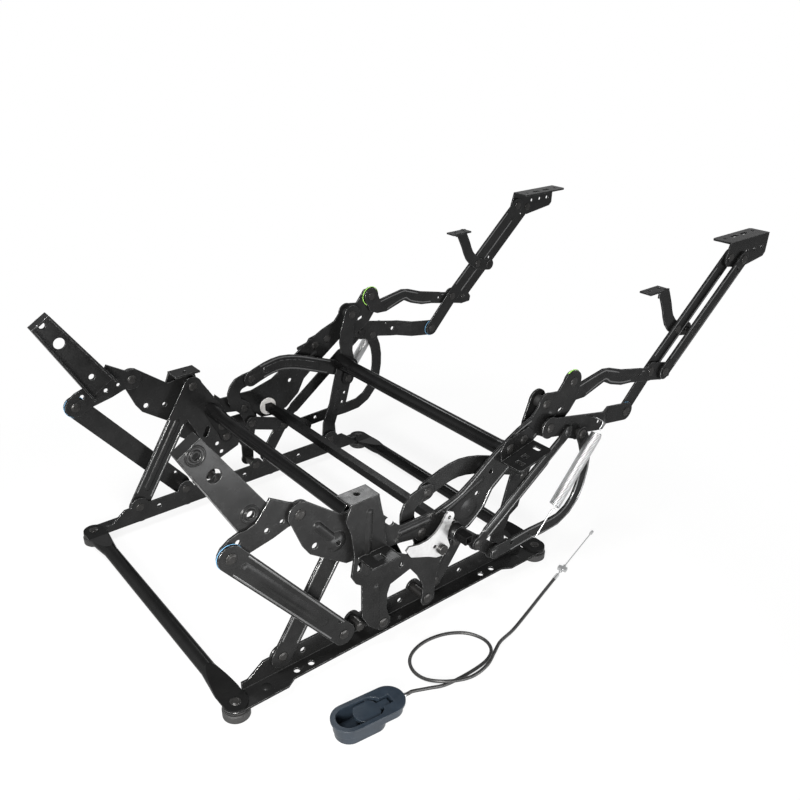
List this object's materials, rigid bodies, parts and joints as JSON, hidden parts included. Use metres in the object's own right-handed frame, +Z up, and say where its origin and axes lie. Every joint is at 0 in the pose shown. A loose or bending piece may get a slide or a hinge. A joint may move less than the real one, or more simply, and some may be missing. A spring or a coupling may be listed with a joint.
{
  "type": "recliner mechanism",
  "caption": "Stamped-steel lay-flat chair linkage on a floor base with cross tubes, folding footrest arms, tilting back arms, tension springs, a zinc latch and a cable-pull release handle",
  "frame": {"origin": "centre of the four outer bolt holes of the rail flanges, in the plane of the flanges' undersides", "axes": "+X towards the footrest, +Y to the sitter's left, +Z up"},
  "size_m": [1.1115, 0.6695, 0.4523],
  "materials": {
    "black_steel": "semi-gloss black coating",
    "bright_wire": "bright zinc",
    "zinc_plate": "zinc plate",
    "rubber": "matt",
    "white_nylon": "satin",
    "green_nylon": "satin",
    "blue_nylon": "satin",
    "black_nylon": "satin",
    "navy_plastic": "fine grain"
  },
  "bodies": {
    "base": {"rail_left": "black_steel", "rail_right": "black_steel", "rear_base_tube": "black_steel", "front_base_tube": "black_steel", "foot_pads": "rubber", "base_studs": "black_steel", "upright_left": "black_steel", "upright_right": "black_steel", "latch_bolt": "zinc_plate", "handle_cup": "navy_plastic", "cable_sheath": "black_nylon", "cable_ferrules": "bright_wire", "cable_clip": "bright_wire", "cable_wire": "bright_wire"},
    "rear_legs": {"rear_leg_left": "black_steel", "rear_leg_right": "black_steel", "rear_leg_tube": "black_steel", "rear_leg_rivets": "black_steel"},
    "seat": {"seat_plate_left": "black_steel", "seat_plate_right": "black_steel", "front_mounts": "black_steel", "seat_rivets": "black_steel", "seat_spacers": "black_nylon", "seat_washers": "green_nylon"},
    "front_legs": {"front_leg_left": "black_steel", "front_leg_right": "black_steel", "front_leg_tube": "black_steel", "front_leg_rivets": "black_steel"},
    "back": {"back_plates": "black_steel", "back_arm_left": "black_steel", "back_arm_right": "black_steel", "back_rivets": "black_steel", "back_washers": "blue_nylon"},
    "control_links": {"control_links": "black_steel"},
    "hook_cranks": {"hook_cranks": "black_steel", "crank_rivets": "black_steel"},
    "drive_links": {"drive_links": "black_steel"},
    "tie_links": {"tie_links": "black_steel", "tie_rivets": "black_steel"},
    "base_links": {"base_links": "black_steel"},
    "shaft": {"torque_bar": "black_steel", "shaft_levers": "black_steel", "shaft_bushes": "white_nylon", "lever_rivets": "black_steel"},
    "lift_links": {"lift_links": "black_steel"},
    "straps": {"drive_straps": "black_steel", "springs": "bright_wire"},
    "lower_links": {"lower_links": "black_steel", "lower_rivets": "black_steel"},
    "upper_links": {"upper_links": "black_steel", "upper_rivets": "black_steel"},
    "inner_arms": {"inner_arms": "black_steel", "arm_rivets": "black_steel", "arm_washers": "blue_nylon"},
    "outer_arms": {"outer_arms": "black_steel"},
    "footrest_brackets": {"footrest_brackets": "black_steel", "bracket_rivets": "black_steel"},
    "mid_brackets": {"mid_brackets": "black_steel"},
    "latch": {"latch_lever": "zinc_plate"},
    "paddle": {"handle_paddle": "navy_plastic"}
  },
  "joints": [
    {"name": "recline", "type": "hinge", "parent": "base", "child": "rear_legs", "pos_m": [-0.197, 0, 0.029], "axis": [0, 1, 0], "range_deg": [0, 7.5]},
    {"name": "seat_tilt", "type": "hinge", "parent": "rear_legs", "child": "seat", "pos_m": [-0.074, 0, 0.218], "axis": [0, 1, 0], "range_deg": [-9.67, 0]},
    {"name": "front_leg_swing", "type": "hinge", "parent": "seat", "child": "front_legs", "pos_m": [0.258, 0, 0.271], "axis": [0, 1, 0], "range_deg": [0, 7.3]},
    {"name": "back_tilt", "type": "hinge", "parent": "seat", "child": "back", "pos_m": [-0.171, 0, 0.253], "axis": [0, 1, 0], "range_deg": [0, 23.67]},
    {"name": "control_swing", "type": "hinge", "parent": "base", "child": "control_links", "pos_m": [-0.11, 0, 0.033], "axis": [0, 1, 0], "range_deg": [0, 5.95]},
    {"name": "crank_turn", "type": "hinge", "parent": "seat", "child": "hook_cranks", "pos_m": [0.024, 0, 0.145], "axis": [0, 1, 0], "range_deg": [-13.38, 0]},
    {"name": "drive_swing", "type": "hinge", "parent": "hook_cranks", "child": "drive_links", "pos_m": [0.04, 0, 0.199], "axis": [0, 1, 0], "range_deg": [0, 12.71]},
    {"name": "base_link_swing", "type": "hinge", "parent": "base", "child": "base_links", "pos_m": [0.062, 0, 0.036], "axis": [0, 1, 0], "range_deg": [0, 33.62]},
    {"name": "tie_swing", "type": "hinge", "parent": "base_links", "child": "tie_links", "pos_m": [0.101, 0, 0.091], "axis": [0, 1, 0], "range_deg": [-14.75, 0]},
    {"name": "footrest", "type": "hinge", "parent": "seat", "child": "upper_links", "pos_m": [0.314, 0, 0.291], "axis": [0, 1, 0], "range_deg": [0, 90]},
    {"name": "lower_swing", "type": "hinge", "parent": "seat", "child": "lower_links", "pos_m": [0.262, 0, 0.234], "axis": [0, 1, 0], "range_deg": [0, 91.8]},
    {"name": "shaft_turn", "type": "hinge", "parent": "seat", "child": "shaft", "pos_m": [0.076, 0, 0.131], "axis": [0, 1, 0], "range_deg": [0, 57.39]},
    {"name": "lift_swing", "type": "hinge", "parent": "shaft", "child": "lift_links", "pos_m": [0.124, 0, 0.089], "axis": [0, 1, 0], "range_deg": [-56.81, 0]},
    {"name": "strap_swing", "type": "hinge", "parent": "lower_links", "child": "straps", "pos_m": [0.328, 0, 0.207], "axis": [0, 1, 0], "range_deg": [-91.13, 0]},
    {"name": "inner_arm_swing", "type": "hinge", "parent": "upper_links", "child": "inner_arms", "pos_m": [0.519, 0, 0.251], "axis": [0, 1, 0], "range_deg": [-91.8, 0]},
    {"name": "outer_arm_swing", "type": "hinge", "parent": "upper_links", "child": "outer_arms", "pos_m": [0.553, 0, 0.243], "axis": [0, 1, 0], "range_deg": [-91.8, 0]},
    {"name": "footrest_tilt", "type": "hinge", "parent": "inner_arms", "child": "footrest_brackets", "pos_m": [0.69152, 0, 0.40909], "axis": [0, 1, 0], "range_deg": [0, 91.8]},
    {"name": "mid_tilt", "type": "hinge", "parent": "inner_arms", "child": "mid_brackets", "pos_m": [0.58167, 0, 0.30843], "axis": [0, 1, 0], "range_deg": [0, 91.8]},
    {"name": "latch_turn", "type": "hinge", "parent": "base", "child": "latch", "pos_m": [0.05, 0, 0.113], "axis": [0, 1, 0], "range_deg": [-20, 0], "stiffness_Nm_per_rad": 0.6, "springref_deg": 5.73},
    {"name": "paddle_turn", "type": "hinge", "parent": "base", "child": "paddle", "pos_m": [-0.14503, -0.35463, 0.004], "axis": [0.1045, 0.9945, 0], "range_deg": [0, 10], "stiffness_Nm_per_rad": 0.05, "springref_deg": -5.73}
  ],
  "couplings": [
    {"joint": "seat_tilt", "follows": "recline", "ratio": -1.2644},
    {"joint": "front_leg_swing", "follows": "recline", "ratio": 0.95416},
    {"joint": "back_tilt", "follows": "recline", "ratio": 3.0945},
    {"joint": "control_swing", "follows": "recline", "ratio": 0.77822},
    {"joint": "crank_turn", "follows": "recline", "ratio": -1.7496},
    {"joint": "drive_swing", "follows": "recline", "ratio": 1.6617},
    {"joint": "base_link_swing", "follows": "recline", "ratio": 4.3953},
    {"joint": "tie_swing", "follows": "recline", "ratio": -1.9279},
    {"joint": "lower_swing", "follows": "footrest", "ratio": 1},
    {"joint": "shaft_turn", "follows": "footrest", "ratio": 0.62513},
    {"joint": "lift_swing", "follows": "footrest", "ratio": -0.61883},
    {"joint": "strap_swing", "follows": "footrest", "ratio": -0.99275},
    {"joint": "inner_arm_swing", "follows": "footrest", "ratio": -1},
    {"joint": "outer_arm_swing", "follows": "footrest", "ratio": -1},
    {"joint": "footrest_tilt", "follows": "footrest", "ratio": 1},
    {"joint": "mid_tilt", "follows": "footrest", "ratio": 1}
  ]
}
